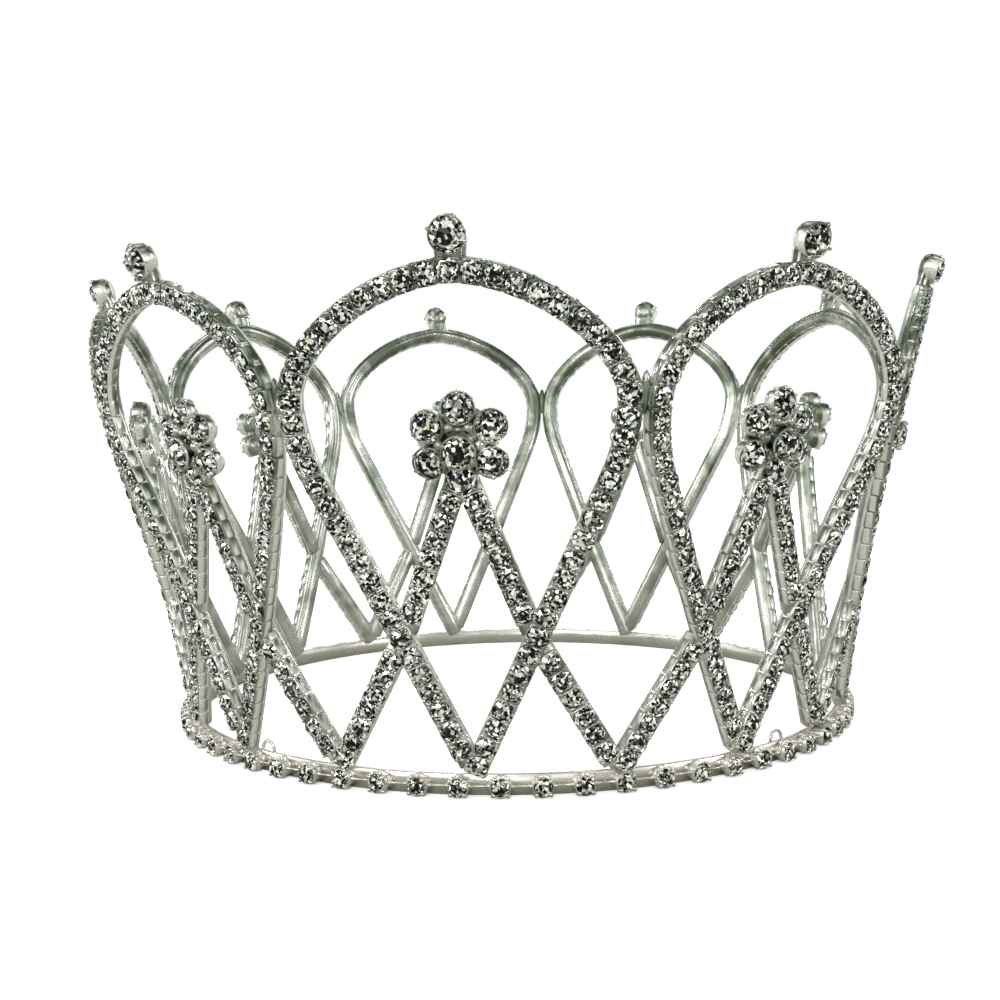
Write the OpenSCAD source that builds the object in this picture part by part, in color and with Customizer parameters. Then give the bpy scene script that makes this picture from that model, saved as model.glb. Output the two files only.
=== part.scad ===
// Round rhinestone crown: nine pointed loops of cup chain on a flat band, a crossed
// lattice below, a flower of stones in each loop and a single stone on each arch.
// The front of the crown faces -Y and the band stands on z = 0. Lobe 1 is at the front
// and the lobes count towards +X.

/* [Band] */
// Radius of the middle of the band's wall
band_radius = 64.6; // [58:0.1:72]
// Height of the band
band_height = 3.4; // [3.3:0.1:4]
// Thickness of the band's wall
band_thick = 0.8; // [0.6:0.1:1.2]
// Number of stones spaced round the band
base_stone_count = 63; // [54:1:66]
// Turn of the first band stone from the front, in degrees
base_turn = -2.1; // [-5:0.1:5]
// Diameter of a stone on the band
base_stone_d = 3.1; // [2.4:0.1:3.2]
// Distance that a cup stands out from the band
base_cup_depth = 1.9; // [1.5:0.1:2.4]
// Diameter of the wire that links the cups
link_wire_d = 0.6; // [0.4:0.1:0.9]
// Inside diameter of a pin loop
pin_loop_d = 2.4; // [1.6:0.1:3]
// Angle of the right-hand pin loop from the front, in degrees
pin_loop_right = 49.3; // [47:0.1:53]
// Angle of the left-hand pin loop from the front, in degrees
pin_loop_left = -35.1; // [-35.5:0.1:-27]

/* [Strands] */
// Width of a strand of cup chain
strand_width = 3.7; // [2.8:0.1:3.8]
// Depth of a strand from its back to the tops of its stones
strand_depth = 3.7; // [2.8:0.1:3.8]
// Gap left where pieces are soldered
seam = 0.1; // [0.05:0.01:0.2]

/* [Lobes] */
// Distance from the axis to the middle of a lobe, at the top of the band
flat_at_band = 64.5; // [58:0.1:72]
// The same distance where neighbouring loops touch
flat_at_touch = 74.9; // [70:0.1:80]
// The same distance at the finial
flat_at_top = 80.8; // [74:0.1:88]
// Angle of a loop's straight sides from the vertical
side_angle = 25.5; // [22:0.5:26.5]
// Radius of the bend between a straight side and the arch
side_bend = 27; // [18:1:28]
// Height of the arch's middle line at its top
arch_height = 80; // [76:0.1:80.1]
// Angle of the legs under the flower from the vertical
peak_angle = 21; // [18:0.5:24]
// Height at which the middle lines of these legs meet
peak_height = 51.9; // [49:0.1:54]

/* [Flowers] */
// Height of the flower's middle
flower_height = 55.3; // [54:0.1:58]
// Distance from the flower's middle to the middle of a petal
petal_ring = 5.3; // [5.25:0.05:5.6]
// Diameter of a petal stone
petal_stone_d = 4.7; // [4:0.1:4.7]
// Tilt of a petal away from the middle, in degrees
petal_tilt = 14; // [10:1:16]
// Diameter of the raised middle stone
heart_stone_d = 4.8; // [4:0.1:4.8]

/* [Finials] */
// Height of the finial stone's middle
finial_height = 84.8; // [84.4:0.1:88]
// Diameter of the finial stone
finial_stone_d = 5.1; // [4.4:0.1:5.4]
// Width of the neck under the finial
neck_width = 3.8; // [2.8:0.1:4.4]

/* [Hidden] */
lobes = 9;
// Petals round the middle stone of a flower
petals = 6;
// Angle from one lobe to the next
lobe_turn = 360 / lobes;
// Wall of a cup round its stone, and of the cups that are as high as the band
cup_wall = 0.25;
base_cup_wall = (band_height - base_stone_d) / 2;
// Rounded back of a cup, as shares of its rim's radius: the flat's radius, the corner's
// radius and height, and the height from which the wall is straight
cup_flat = 0.55;
cup_corner = 0.85;
cup_corner_rise = 0.16;
cup_round_rise = 0.45;
// Gap between a stone and its cup
stone_gap = 0.15;
// Depth that soldered pieces of one solid reach into each other
cup_bite = 0.3;
pin_loop_bite = 0.2;
solder_bite = 1.2;
// Disc of solder behind a flower's stones, and its depth
flower_disc_d = 7;
flower_disc_depth = 0.9;
// Blob of solder at the foot of a loop, and its height above the end of the left side
solder_blob = 1.4;
solder_blob_rise = 0.85;
// Thickness of the finial's neck
neck_thick = 1.8;
// Distance of the wire's middle from the rim of the cups
link_depth = base_cup_depth / 2;
// Length of the wire between two cups on the band, with both ends inside the cups
link_length = 2 * PI * (band_radius + band_thick / 2 + base_cup_depth) / base_stone_count
    - band_height + 2 * cup_bite;
// Height of the petals' and the middle stone's girdles above the strand's middle
petal_out = 0.9;
heart_out = 2.8;
// Distance of the middle stone below the middle of the ring, and the width of its post
heart_drop = 0.8;
heart_post_d = 2.4;
// Height of the finial's girdle above the strand's middle
finial_out = 1.4;
// Crown, girdle and pavilion heights of a cut stone, as shares of its diameter
stone_crown = 0.2;
stone_girdle = 0.08;
stone_pavilion = 0.3;
// Widths of the table and of the flat at the bottom, as shares of the stone's diameter
stone_table = 0.56;
stone_culet = 0.2;
// Thickness of the slices that a stone's outline is drawn from
slice = 0.01;
// Facets round a cut stone
stone_facets = 8;
// Steps along a side, round the side bend and over the arch
side_steps = 4;
bend_steps = 3;
arch_steps = 18;
// Power that draws the arch to a point: 1 gives half of an ellipse
arch_point = 1.18;
// Height above the band of the point from which a loop's sides spread
loop_foot = band_height + 0.3;
// Distance between the meeting point of the flower's legs and the ends under the flower
leg_start = 1.1;
// Section of a strand, as shares of its width: the flats of its back and its front
strand_back = 0.3;
strand_front = 0.38;
// Ends of its straight walls below and above the middle, as shares of its depth
strand_shoulder = 0.28;
strand_wall_top = 0.34;
// Half of a loop's greatest width, so that the backs of two loops clear each other
half_span = (flat_at_touch - strand_shoulder * strand_depth) * tan(lobe_turn / 2)
    - strand_width / 2 - seam;
// Middle line of a side where its bend begins, and the height of the greatest width
bend_start_u = half_span - side_bend * (1 - cos(side_angle));
bend_start_z = loop_foot + bend_start_u / tan(side_angle);
touch_height = bend_start_z + side_bend * sin(side_angle);
// Rise of the arch above the greatest width
arch_rise = arch_height - touch_height;
// Crossing of the flower's legs with the sides of the loop
cross_z = (peak_height * tan(peak_angle) + loop_foot * tan(side_angle))
    / (tan(peak_angle) + tan(side_angle));
cross_u = (peak_height - cross_z) * tan(peak_angle);
// Corners of a strand's section: [across, outward] from its middle line
strand_section = [
    [strand_back * strand_width, -strand_depth / 2],
    [strand_width / 2, -strand_shoulder * strand_depth],
    [strand_width / 2, strand_wall_top * strand_depth],
    [strand_front * strand_width, strand_depth / 2],
    [-strand_front * strand_width, strand_depth / 2],
    [-strand_width / 2, strand_wall_top * strand_depth],
    [-strand_width / 2, -strand_shoulder * strand_depth],
    [-strand_back * strand_width, -strand_depth / 2]
];
metal = [0.78, 0.79, 0.78];
crystal = [0.88, 0.92, 0.95];
$fn = 32;

function unit(v) = v / norm(v);

// A sine or cosine along the arch, drawn to its point
function pointed(share) = sign(share) * pow(abs(share), arch_point);

// A share of the way from one value or point to another
function between(a, b, share) = a + (b - a) * share;

// Distance from the axis to a lobe's middle plane: a parabola through three distances
function plane_at(z) =
    let (z0 = band_height, z1 = touch_height, z2 = finial_height)
    flat_at_band * (z - z1) * (z - z2) / ((z0 - z1) * (z0 - z2))
    + flat_at_touch * (z - z0) * (z - z2) / ((z1 - z0) * (z1 - z2))
    + flat_at_top * (z - z0) * (z - z1) / ((z2 - z0) * (z2 - z1));

// How fast that distance grows over the millimetre around a height
function plane_slope(z) = plane_at(z + 0.5) - plane_at(z - 0.5);

// A point of the front lobe, across and up, and the way its stones face there
function on_lobe(u, z) = [u, -plane_at(z), z];
function face_out(z) = unit([0, -1, -plane_slope(z)]);

function turn_z(p, a) = [p.x * cos(a) - p.y * sin(a), p.x * sin(a) + p.y * cos(a), p.z];

// Distance from where two middle lines cross to the square end of the strand that stops
// against the side of the other, when they cross at this angle
function butt(angle) =
    (strand_width / 2 + seam + strand_width / 2 * cos(angle)) / sin(angle);

// Middle line of a loop as [across, up]: up the right side, over the arch and down the
// left side, which stops against the right one above the band
function loop_side(share) =
    between([(band_height + seam - loop_foot) * tan(side_angle), band_height + seam],
            [bend_start_u, bend_start_z], share);
function loop_bend(share) =
    let (a = side_angle * (1 - share))
    [half_span - side_bend * (1 - cos(a)), touch_height - side_bend * sin(a)];
loop_end = [butt(2 * side_angle) * sin(side_angle),
            loop_foot + butt(2 * side_angle) * cos(side_angle)];
loop_line = concat(
    [for (i = [0:side_steps - 1]) loop_side(i / side_steps)],
    [for (i = [0:bend_steps - 1]) loop_bend(i / bend_steps)],
    [for (i = [0:arch_steps])
        let (a = 180 * i / arch_steps)
        [half_span * pointed(cos(a)), touch_height + arch_rise * pointed(sin(a))]],
    [for (i = [bend_steps - 1:-1:0]) let (p = loop_bend(i / bend_steps)) [-p.x, p.y]],
    [for (i = [side_steps - 1:-1:0])
        let (p = between(loop_end, [bend_start_u, bend_start_z], i / side_steps))
        [-p.x, p.y]]
);

// One ring of a swept strand: its section squared to the line d and facing out, cut by a
// plane through p whose normal is cut
function strand_ring(p, d, out, cut) =
    let (n = unit(out - (out * d) * d), s = cross(d, n))
    [for (c = strand_section)
        let (q = p + c.x * s + c.y * n)
        q + d * ((p - q) * cut) / (d * cut)];

// A strand through 3-D points, each with the way its stones face
module strand(points, outs, start_cut = undef, end_cut = undef) {
    last = len(points) - 1;
    m = len(strand_section);
    rings = [for (i = [0:last])
        let (d = unit(points[min(i + 1, last)] - points[max(i - 1, 0)]))
        let (cut = (i == 0 && start_cut != undef) ? start_cut
            : (i == last && end_cut != undef) ? end_cut : d)
        each strand_ring(points[i], d, outs[i], cut)];
    sides = [for (i = [0:last - 1], j = [0:m - 1])
        let (a = i * m + j, b = i * m + (j + 1) % m)
        each [[a, b, b + m], [a, b + m, a + m]]];
    caps = [[for (j = [m - 1:-1:0]) j], [for (j = [0:m - 1]) last * m + j]];
    polyhedron(rings, concat(sides, caps), convexity = 8);
}

// Puts its children on the front lobe: X across, Y up the lobe and Z out of its face
module at_lobe(z) {
    translate(on_lobe(0, z))
        rotate([90 + atan(plane_slope(z)), 0, 0])
        children();
}

// Pieces of a lobe are built at the front and turned to their own lobe
module at_turn(k) {
    rotate([0, 0, (k - 1) * lobe_turn])
        children();
}

// A round brilliant, its girdle at z = 0 and its table facing +Z
module cut_stone(d) {
    hull() {
        translate([0, 0, (stone_girdle + stone_crown) * d - slice])
            rotate(180 / stone_facets)
            cylinder(d = stone_table * d, h = slice, $fn = stone_facets);
        cylinder(d = d, h = stone_girdle * d, $fn = stone_facets);
        translate([0, 0, -stone_pavilion * d])
            cylinder(d = stone_culet * d, h = slice, $fn = stone_facets);
    }
}

// Outline of the seat sunk for such a stone, from its edge to the middle of its bottom
function seat(d) = [
    [d / 2, -stone_gap],
    [stone_culet * d / 2 + stone_gap, -stone_pavilion * d - stone_gap],
    [0, -stone_pavilion * d - stone_gap]
];

// A metal cup for a stone: a seat in a round block with a rounded back
module cup(d, depth, wall = cup_wall) {
    rim = d / 2 + wall;
    rotate_extrude()
        polygon(concat([
            [0, -depth],
            [cup_flat * rim, -depth],
            [cup_corner * rim, -depth + cup_corner_rise * rim],
            [rim, -depth + cup_round_rise * rim],
            [rim, -stone_gap]
        ], seat(d)));
}

// A cup that clears the stones round it: a cone on a round post
module raised_cup(d, depth) {
    post = heart_post_d / 2;
    rotate_extrude()
        polygon(concat([
            [0, -depth],
            [post, -depth],
            [post, -stone_pavilion * d - 2 * stone_gap],
            [d / 2 + cup_wall, -stone_gap]
        ], seat(d)));
}

module at_band_stone(i) {
    rotate([0, 0, base_turn + 360 * i / base_stone_count])
        translate([0, -(band_radius + band_thick / 2 + base_cup_depth), band_height / 2])
        rotate([90, 0, 0])
        children();
}

// Wire ring on the inside of the band for a hair pin, standing up above its edge
module pin_loop(turn) {
    wire_r = link_wire_d / 2;
    ring_r = pin_loop_d / 2 + wire_r;
    rotate([0, 0, turn])
        translate([0, -(band_radius - band_thick / 2 - wire_r + pin_loop_bite), band_height])
        rotate([90, 0, 0])
        rotate_extrude()
        translate([ring_r, 0])
        circle(r = wire_r);
}

// Flat strip with its cups, the wire that links them and the pin loops
module base_band() {
    color(metal) {
        rotate_extrude($fn = 128)
            translate([band_radius - band_thick / 2, 0])
            square([band_thick, band_height]);
        for (i = [0:base_stone_count - 1]) {
            at_band_stone(i)
                cup(base_stone_d, base_cup_depth + cup_bite, base_cup_wall);
            at_band_stone(i + 0.5)
                translate([-link_length / 2, 0, -link_depth])
                rotate([0, 90, 0])
                cylinder(d = link_wire_d, h = link_length);
        }
        pin_loop(pin_loop_right);
        pin_loop(pin_loop_left);
    }
}

module base_stones() {
    color(crystal)
        for (i = [0:base_stone_count - 1])
        at_band_stone(i)
        cut_stone(base_stone_d);
}

// Setting of the finial: a neck on the arch and a cup facing out
module finial_setting() {
    depth = finial_out + strand_depth / 2;
    neck_length = finial_height - arch_height - finial_stone_d / 2 - cup_wall + 2 * cup_bite;
    at_lobe(finial_height)
        translate([0, 0, finial_out]) {
            cup(finial_stone_d, depth);
            translate([-neck_width / 2, arch_height - finial_height, cup_bite - depth])
                cube([neck_width, neck_length, neck_thick]);
        }
}

// A loop: up the right side, over the arch and down the left side, with its finial
module loop(k) {
    color(metal)
        at_turn(k) {
            strand([for (p = loop_line) on_lobe(p.x, p.y)],
                   [for (p = loop_line) face_out(p.y)],
                   start_cut = [0, 0, 1]);
            finial_setting();
            at_lobe(loop_end.y)
                translate([0, solder_blob_rise, -solder_blob / 2])
                cube(solder_blob, center = true);
        }
}

module finial_stone(k) {
    color(crystal)
        at_turn(k)
        at_lobe(finial_height)
        translate([0, 0, finial_out])
        cut_stone(finial_stone_d);
}

// Leg of the inverted V inside a loop, from under the flower to the loop's side
module peak_leg(side) {
    reach = (peak_height - cross_z) / cos(peak_angle) - butt(peak_angle + side_angle);
    line = [for (l = [leg_start, reach])
        [side * l * sin(peak_angle), peak_height - l * cos(peak_angle)]];
    strand([for (p = line) on_lobe(p.x, p.y)], [for (p = line) face_out(p.y)]);
}

// Places its children at the girdle of a flower's petal and of its middle stone
module at_petal(i) {
    at_lobe(flower_height)
        rotate([0, 0, 90 + i * 360 / petals])
        translate([petal_ring, 0, 0])
        rotate([0, petal_tilt, 0])
        translate([0, 0, petal_out])
        children();
}

module at_heart() {
    at_lobe(flower_height)
        translate([0, -heart_drop, heart_out])
        children();
}

// The flower's two legs and the cups of its stones on their disc of solder. The legs
// stop short of the lowest petal's stone.
module peak(k) {
    color(metal)
        at_turn(k) {
            difference() {
                union() {
                    peak_leg(1);
                    peak_leg(-1);
                }
                at_petal(petals / 2)
                    translate([0, 0, -stone_pavilion * petal_stone_d - 2 * stone_gap])
                    cylinder(d = petal_stone_d + cup_wall, h = strand_depth);
            }
            at_lobe(flower_height)
                translate([0, 0, cup_bite - strand_depth / 2])
                cylinder(d = flower_disc_d, h = flower_disc_depth);
            for (i = [0:petals - 1])
                at_petal(i)
                cup(petal_stone_d, petal_out + strand_depth / 2);
            at_heart()
                raised_cup(heart_stone_d, heart_out + strand_depth / 2);
        }
}

module flower_stones(k) {
    color(crystal)
        at_turn(k) {
            for (i = [0:petals - 1])
                at_petal(i)
                cut_stone(petal_stone_d);
            at_heart()
                cut_stone(heart_stone_d);
        }
}

// Lower legs, from the crossings of two neighbouring loops to one foot on the band
foot_node = [0, -band_radius, band_height + seam];
function foot_top(side) =
    turn_z(on_lobe(-side * cross_u, cross_z), side * lobe_turn / 2);

foot_line = unit(foot_node - foot_top(1));
foot_angle = acos(-foot_line.z);
// Further distance from the loops, for the turn between the leg and the loop's plane
foot_clear = 0.45;

module foot_leg(side, tail) {
    d = [side * foot_line.x, foot_line.y, foot_line.z];
    start = foot_top(side) + d * (butt(foot_angle + side_angle) + foot_clear);
    end = foot_node - d * tail;
    out = turn_z(face_out(cross_z), side * lobe_turn / 4);
    strand([start, end], [out, out], end_cut = tail == 0 ? [0, 0, 1] : undef);
}

module foot(k) {
    color(metal)
        at_turn(k)
        rotate([0, 0, lobe_turn / 2]) {
            foot_leg(1, 0);
            foot_leg(-1, butt(2 * foot_angle) - solder_bite);
        }
}

base_band();
base_stones();
for (k = [1:lobes]) {
    loop(k);
    peak(k);
    foot(k);
    flower_stones(k);
    finial_stone(k);
}
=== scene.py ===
"""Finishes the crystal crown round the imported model.

Every strand gets its rounded back, its row of cups and prongs and its cut stones, every
flower and finial its settings and brilliants, and the band its linked cups. All pieces lie
where the solids lie and ride on the one body. Lengths are in metres; the front of the
crown faces -Y, lobe 1 is at the front and the lobes count towards +X.
"""
import math
import random

import bmesh
import bpy
from bpy.props import FloatProperty, FloatVectorProperty, IntProperty, PointerProperty
from bpy.types import Operator, Panel, PropertyGroup
from mathutils import Matrix, Vector


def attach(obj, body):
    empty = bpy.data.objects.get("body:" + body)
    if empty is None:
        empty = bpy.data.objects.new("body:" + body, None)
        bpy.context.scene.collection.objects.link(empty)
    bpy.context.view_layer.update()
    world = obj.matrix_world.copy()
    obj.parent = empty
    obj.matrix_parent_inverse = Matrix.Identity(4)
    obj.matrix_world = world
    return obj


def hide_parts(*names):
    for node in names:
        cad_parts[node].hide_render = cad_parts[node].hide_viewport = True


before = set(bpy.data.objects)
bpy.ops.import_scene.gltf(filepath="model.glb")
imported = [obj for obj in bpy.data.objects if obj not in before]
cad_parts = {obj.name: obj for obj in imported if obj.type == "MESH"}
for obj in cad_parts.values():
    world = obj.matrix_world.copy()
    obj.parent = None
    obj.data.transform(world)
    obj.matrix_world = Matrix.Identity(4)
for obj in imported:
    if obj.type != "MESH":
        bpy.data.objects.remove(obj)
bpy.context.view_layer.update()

bl_info = {
    "name": "Crystal Crown Finish",
    "version": (1, 0, 0),
    "blender": (4, 5, 0),
    "location": "View3D > Sidebar > Crown",
    "description": "Strands, cut stones, settings, finishes and stage of a round crystal crown",
    "category": "Object",
}

MM = 0.001
LOBES = 9
LOBE_TURN = 2 * math.pi / LOBES
PETALS = 6
METAL_SLOT = "silver_metal"
CRYSTAL_SLOT = "crystal"
# Distance from the crossing of two strands to the end of the one that is tucked under
TUCK = 1.5 * MM
# How far the last prongs stand from the last stone, as a share of half the pitch
END_PRONG = 0.7
# Lengths without stones at the band and under a flower
BARE_AT_BAND = 0.2 * MM
BARE_AT_FLOWER = 3.0 * MM
# How much wider and flatter than a round brilliant the stones of a strand are
STONE_WIDER = 1.12
STONE_FLATTER = 0.65
# How far a strand's stone is turned and a petal's stone sits out of true, in radians
STONE_SPIN = 0.25
PETAL_SWAY = 0.03
# How far a setting's rim stands out past its stone, and the depth of the seat under the
# stone's girdle as a share of its diameter
RIM = 0.25 * MM
SEAT = 0.36
# Turn of a finial's claws and how far it varies, as shares of the step between claws
CLAW_TURN = 0.78
CLAW_SWAY = 0.3
# What is added to the seed for each kind of piece, so that no two draw alike
DRAWS = {"loop": 0, "peak": 20, "foot": 40, "petal": 50, "heart": 70, "claw": 90}
# Painted reflection tones of the facets, set per facet instead of by the lights: from which share
# of the draw, and how bright
PAINTED_REFLECTION_TONES = ((0.0, 0.002), (0.28, 0.022), (0.43, 0.12), (0.56, 0.42), (0.67, 1.0))
# From this share of the draw on, a facet also glows as a painted glint
GLINT_FROM = 0.84
# Tints of the painted facet reflections: from which share of the draw, and which colour
PAINTED_REFLECTION_TINTS = ((0.0, (1.0, 1.0, 1.0, 1)), (0.70, (1.0, 0.95, 0.82, 1)),
               (0.82, (0.84, 0.93, 1.0, 1)), (0.90, (0.88, 0.97, 0.90, 1)),
               (0.965, (1.0, 0.78, 0.5, 1)), (0.98, (0.66, 0.8, 1.0, 1)))


def length(label, mm, what):
    """A length property, its default given in millimetres."""
    return FloatProperty(name=label, description=what, default=mm * MM, min=0.0,
                         precision=5, unit="LENGTH", subtype="DISTANCE")


def angle(label, degrees, what):
    """An angle property, its default given in degrees."""
    return FloatProperty(name=label, description=what, default=math.radians(degrees),
                         unit="ROTATION", subtype="ANGLE")


def colour(label, value, what):
    """A colour property."""
    return FloatVectorProperty(name=label, description=what, default=value, size=3,
                               min=0.0, max=1.0, subtype="COLOR")


class CrownSizes(PropertyGroup):
    """Sizes that the finish shares with the solids."""
    band_radius: length("Band radius", 64.6, "Radius of the middle of the band's wall")
    band_height: length("Band height", 3.4, "Height of the band")
    band_thick: length("Band wall", 0.8, "Thickness of the band's wall")
    base_stones: IntProperty(name="Band stones", default=63, min=3,
                             description="Stones spaced round the band")
    base_turn: angle("First band stone", -2.1, "Turn of the first band stone from the front")
    base_stone_d: length("Band stone", 3.1, "Diameter of a stone on the band")
    base_cup_depth: length("Band cup", 1.9, "Distance that a cup stands out from the band")
    link_wire_d: length("Link wire", 0.6, "Diameter of the wire that links the band's cups")
    pin_loop_d: length("Pin loop", 2.4, "Inside diameter of a pin loop")
    pin_loop_right: angle("Right pin loop", 49.3, "Turn of the right-hand pin loop")
    pin_loop_left: angle("Left pin loop", -35.1, "Turn of the left-hand pin loop")
    strand_width: length("Strand width", 3.7, "Width of a strand of cup chain")
    strand_depth: length("Strand depth", 3.7, "Depth of a strand over its stones")
    flat_at_band: length("Lobe at the band", 64.5, "Distance from the axis to a lobe there")
    flat_at_touch: length("Lobe at the touch", 74.9, "The same where the loops touch")
    flat_at_top: length("Lobe at the finial", 80.8, "The same at the finial")
    side_angle: angle("Side angle", 25.5, "Angle of a loop's straight sides from the vertical")
    side_bend: length("Side bend", 27, "Radius of the bend between a side and the arch")
    arch_height: length("Arch height", 80, "Height of the arch's middle line at its top")
    arch_point: FloatProperty(name="Arch point", default=1.18, min=1.0,
                              description="Power that draws the arch to a point")
    peak_angle: angle("Peak angle", 21, "Angle of the legs under the flower")
    peak_height: length("Peak height", 51.9, "Height at which these legs meet")
    flower_height: length("Flower height", 55.3, "Height of the flower's middle")
    petal_ring: length("Petal ring", 5.3, "Distance of a petal from the flower's middle")
    petal_stone_d: length("Petal stone", 4.7, "Diameter of a petal stone")
    petal_tilt: angle("Petal tilt", 14, "Tilt of a petal away from the middle")
    petal_out: length("Petal girdle", 0.9, "Height of a petal's girdle over the strand's middle")
    heart_stone_d: length("Heart stone", 4.8, "Diameter of the raised middle stone")
    heart_out: length("Heart girdle", 2.8, "Height of the heart's girdle over the same")
    heart_drop: length("Heart drop", 0.8, "Distance of the heart below the ring's middle")
    heart_post_d: length("Heart post", 2.4, "Width of the post under the heart")
    finial_height: length("Finial height", 84.8, "Height of the finial stone's middle")
    finial_stone_d: length("Finial stone", 5.1, "Diameter of the finial stone")
    finial_out: length("Finial girdle", 1.4, "Height of the finial's girdle over the same")
    neck_width: length("Neck width", 3.8, "Width of the neck under the finial")


class CrownFinish(PropertyGroup):
    """Sizes and colours that only the finish uses."""
    stone_pitch: length("Stone pitch", 3.35, "Distance from stone to stone on a strand")
    strand_stone_d: length("Strand stone", 3.26, "Diameter of a stone on a strand")
    strand_girdle: length("Strand girdle", 1.3, "Height of these stones' girdles")
    stone_sway: angle("Stone sway", 8, "How far a stone may sit out of true")
    seed: IntProperty(name="Seed", default=7, min=0,
                      description="Start of the random draws for stones and facets")
    silver: colour("Silver", (0.74, 0.755, 0.70), "Plating of the strands and settings")
    # Colour of the painted dark reflections on the plating, in patches and more towards the top
    painted_dark_silver: colour("Painted dark silver", (0.17, 0.20, 0.145), "Duller patches of the plating")
    # Pale painted light on walls that face sideways
    painted_wall_light: colour("Painted wall light", (0.86, 0.85, 0.78), "Plating of walls that face sideways")
    band_silver: colour("Band silver", (0.84, 0.80, 0.74), "Plating of the flat band")
    crystal_tint: colour("Crystal", (1.0, 1.0, 0.94), "Colour of the bright facets")
    floor: colour("Floor", (0.93, 0.93, 0.93), "Pale floor under the crown")


class Layout:
    """Where the parts of the front lobe lie, worked out from the crown's sizes."""

    def __init__(self, sizes):
        self.s = s = sizes
        side, peak = math.tan(s.side_angle), math.tan(s.peak_angle)
        seam, shoulder = 0.1 * MM, 0.28
        self.foot = s.band_height + 0.3 * MM
        self.half_span = ((s.flat_at_touch - shoulder * s.strand_depth)
                          * math.tan(LOBE_TURN / 2) - s.strand_width / 2 - seam)
        self.bend_u = self.half_span - s.side_bend * (1 - math.cos(s.side_angle))
        self.bend_z = self.foot + self.bend_u / side
        self.touch = self.bend_z + s.side_bend * math.sin(s.side_angle)
        self.cross_z = (s.peak_height * peak + self.foot * side) / (peak + side)
        self.cross_u = (s.peak_height - self.cross_z) * peak

    def plane(self, z):
        """Distance from the axis to the lobe's middle plane at a height."""
        s = self.s
        knots = ((s.band_height, s.flat_at_band), (self.touch, s.flat_at_touch),
                 (s.finial_height, s.flat_at_top))
        total = 0.0
        for i, (zi, value) in enumerate(knots):
            for j, (zj, _) in enumerate(knots):
                if i != j:
                    value *= (z - zj) / (zi - zj)
            total += value
        return total

    def pointed(self, share):
        """A sine or cosine along the arch, drawn to its point."""
        return math.copysign(abs(share) ** self.s.arch_point, share)

    def point(self, u, z):
        """A point of the lobe's middle plane, across and up."""
        return Vector((u, -self.plane(z), z))

    def out(self, z):
        """The way that stones face at a height."""
        step = 0.5 * MM
        slope = (self.plane(z + step) - self.plane(z - step)) / (2 * step)
        return Vector((0, -1, -slope)).normalized()

    def bare(self, turn, finish):
        """Length of a strip without stones where it runs under a strand that it crosses."""
        clear = (self.s.strand_width + finish.strand_stone_d) / 2 / math.sin(turn)
        return clear - finish.stone_pitch / 2 - TUCK

    def place(self, z, out=0.0):
        """Matrix of the lobe at a height: X across, Y up the lobe, Z out of its face."""
        across, facing = Vector((1, 0, 0)), self.out(z)
        ways = Matrix((across, facing.cross(across), facing)).transposed().to_4x4()
        return Matrix.Translation(self.point(0, z) + out * facing) @ ways

    def loop_route(self):
        """Middle line of a loop, with the way its stones face."""
        s = self.s
        tan = math.tan(s.side_angle)
        side_steps, bend_steps, arch_steps = 14, 8, 56
        start = Vector(((s.band_height - self.foot) * tan, s.band_height))
        end = Vector((TUCK * math.sin(s.side_angle),
                      self.foot + TUCK * math.cos(s.side_angle)))
        bend = Vector((self.bend_u, self.bend_z))
        line = [start.lerp(bend, i / side_steps) for i in range(side_steps)]
        curve = []
        for i in range(bend_steps):
            a = s.side_angle * (1 - i / bend_steps)
            curve.append(Vector((self.half_span - s.side_bend * (1 - math.cos(a)),
                                 self.touch - s.side_bend * math.sin(a))))
        line += curve
        for i in range(arch_steps + 1):
            a = math.pi * i / arch_steps
            line.append(Vector((self.half_span * self.pointed(math.cos(a)),
                                self.touch + (s.arch_height - self.touch)
                                * self.pointed(math.sin(a)))))
        line += [Vector((-p.x, p.y)) for p in reversed(curve)]
        for i in range(side_steps - 1, -1, -1):
            p = end.lerp(bend, i / side_steps)
            line.append(Vector((-p.x, p.y)))
        return [(self.point(*p), self.out(p.y)) for p in line]

    def peak_route(self, side):
        """Middle line of one leg under the flower, from the top down."""
        s = self.s
        reach = (s.peak_height - self.cross_z) / math.cos(s.peak_angle) - TUCK
        start, steps = 1.1 * MM, 12
        line = []
        for i in range(steps + 1):
            gone = start + (reach - start) * i / steps
            line.append((side * gone * math.sin(s.peak_angle),
                         s.peak_height - gone * math.cos(s.peak_angle)))
        return [(self.point(*p), self.out(p[1])) for p in line]

    def foot_route(self, side):
        """Middle line of one leg from a crossing down to the band, next to the lobe."""
        s = self.s
        half_turn = Matrix.Rotation(side * LOBE_TURN / 2, 3, "Z")
        node = Vector((0, -s.band_radius, s.band_height))
        top = half_turn @ self.point(-side * self.cross_u, self.cross_z)
        down = (node - top).normalized()
        start = top + down * TUCK
        end = node if side > 0 else node - down * TUCK
        out = Matrix.Rotation(side * LOBE_TURN / 4, 3, "Z") @ self.out(self.cross_z)
        steps = 6
        return [(start.lerp(end, i / steps), out) for i in range(steps + 1)]

    def foot_lean(self):
        """Angle of the lower legs from the vertical."""
        (a, _), *_, (b, _) = self.foot_route(1)
        return math.acos((a - b).normalized().z)


def turned(route, turn):
    """A route turned about the crown's axis."""
    spin = Matrix.Rotation(turn, 3, "Z")
    return [(spin @ p, spin @ out) for p, out in route]


def route_length(route):
    """Length along a route."""
    return sum((b[0] - a[0]).length for a, b in zip(route, route[1:]))


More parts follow.
